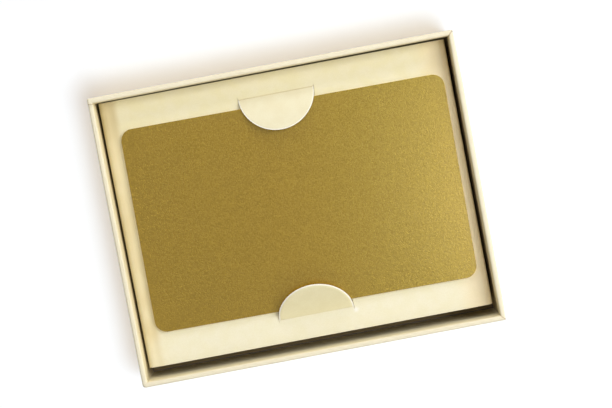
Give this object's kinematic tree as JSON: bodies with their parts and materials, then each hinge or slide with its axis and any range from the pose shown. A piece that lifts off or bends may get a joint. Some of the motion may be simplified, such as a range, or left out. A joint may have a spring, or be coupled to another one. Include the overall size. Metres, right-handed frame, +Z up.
{
  "type": "gift card box",
  "caption": "Open rigid paper-covered tray with a loose folded platform whose half-round tabs hold a plastic gift card.",
  "frame": {"origin": "centre of the tray's footprint on the surface it stands on", "axes": "+X along the tray's length to the right, +Y towards its back wall, +Z up out of its open top"},
  "size_m": [0.0964, 0.0768, 0.021],
  "materials": {
    "grey_board": "raw grey board",
    "gummed_tape": "brown kraft paper",
    "covering_paper": "smooth cream paper",
    "liner_paper": "smooth cream paper",
    "card_stock": "smooth uncoated cream card stock",
    "card_plastic": "white core",
    "gold_film": "gold metallic film with a fine sparkle",
    "back_film": "gloss overlay",
    "stripe": "dark magnetic coating"
  },
  "bodies": {
    "tray": {"base_board": "grey_board", "front_wall_board": "grey_board", "back_wall_board": "grey_board", "left_wall_board": "grey_board", "right_wall_board": "grey_board", "corner_stays": "gummed_tape", "wall_wrap": "covering_paper", "base_sheet": "covering_paper", "floor_liner": "liner_paper"},
    "insert": {"platform": "card_stock"},
    "left_flap": {"left_leg": "card_stock"},
    "right_flap": {"right_leg": "card_stock"},
    "back_flap": {"back_tab": "card_stock"},
    "front_flap": {"front_tab": "card_stock"},
    "gift_card": {"card_core": "card_plastic", "card_face": "gold_film", "card_back": "back_film", "magnetic_stripe": "stripe"}
  },
  "joints": [
    {"name": "insert_lift", "type": "slide", "parent": "tray", "child": "insert", "axis": [0, 0, 1], "range_m": [0, 0.03]},
    {"name": "card_lift", "type": "slide", "parent": "insert", "child": "gift_card", "axis": [0, 0, 1], "range_m": [0, 0.0054]},
    {"name": "back_tab_crease", "type": "hinge", "parent": "insert", "child": "back_flap", "pos_m": [0.0001, 0.03074, 0.0155], "axis": [-1, 0, 0], "range_deg": [0, 113]},
    {"name": "front_tab_crease", "type": "hinge", "parent": "insert", "child": "front_flap", "pos_m": [-0.00015, -0.02794, 0.0155], "axis": [1, 0, 0], "range_deg": [0, 104]},
    {"name": "left_leg_fold", "type": "hinge", "parent": "insert", "child": "left_flap", "pos_m": [-0.0459, 0.00122, 0.0135], "axis": [0, -1, 0], "range_deg": [0, 88]},
    {"name": "right_leg_fold", "type": "hinge", "parent": "insert", "child": "right_flap", "pos_m": [0.0456, 0.00122, 0.0135], "axis": [0, 1, 0], "range_deg": [0, 88]}
  ],
  "couplings": [
    {"joint": "back_tab_crease", "follows": "card_lift", "rad_per_m": 365},
    {"joint": "front_tab_crease", "follows": "card_lift", "rad_per_m": 335}
  ]
}
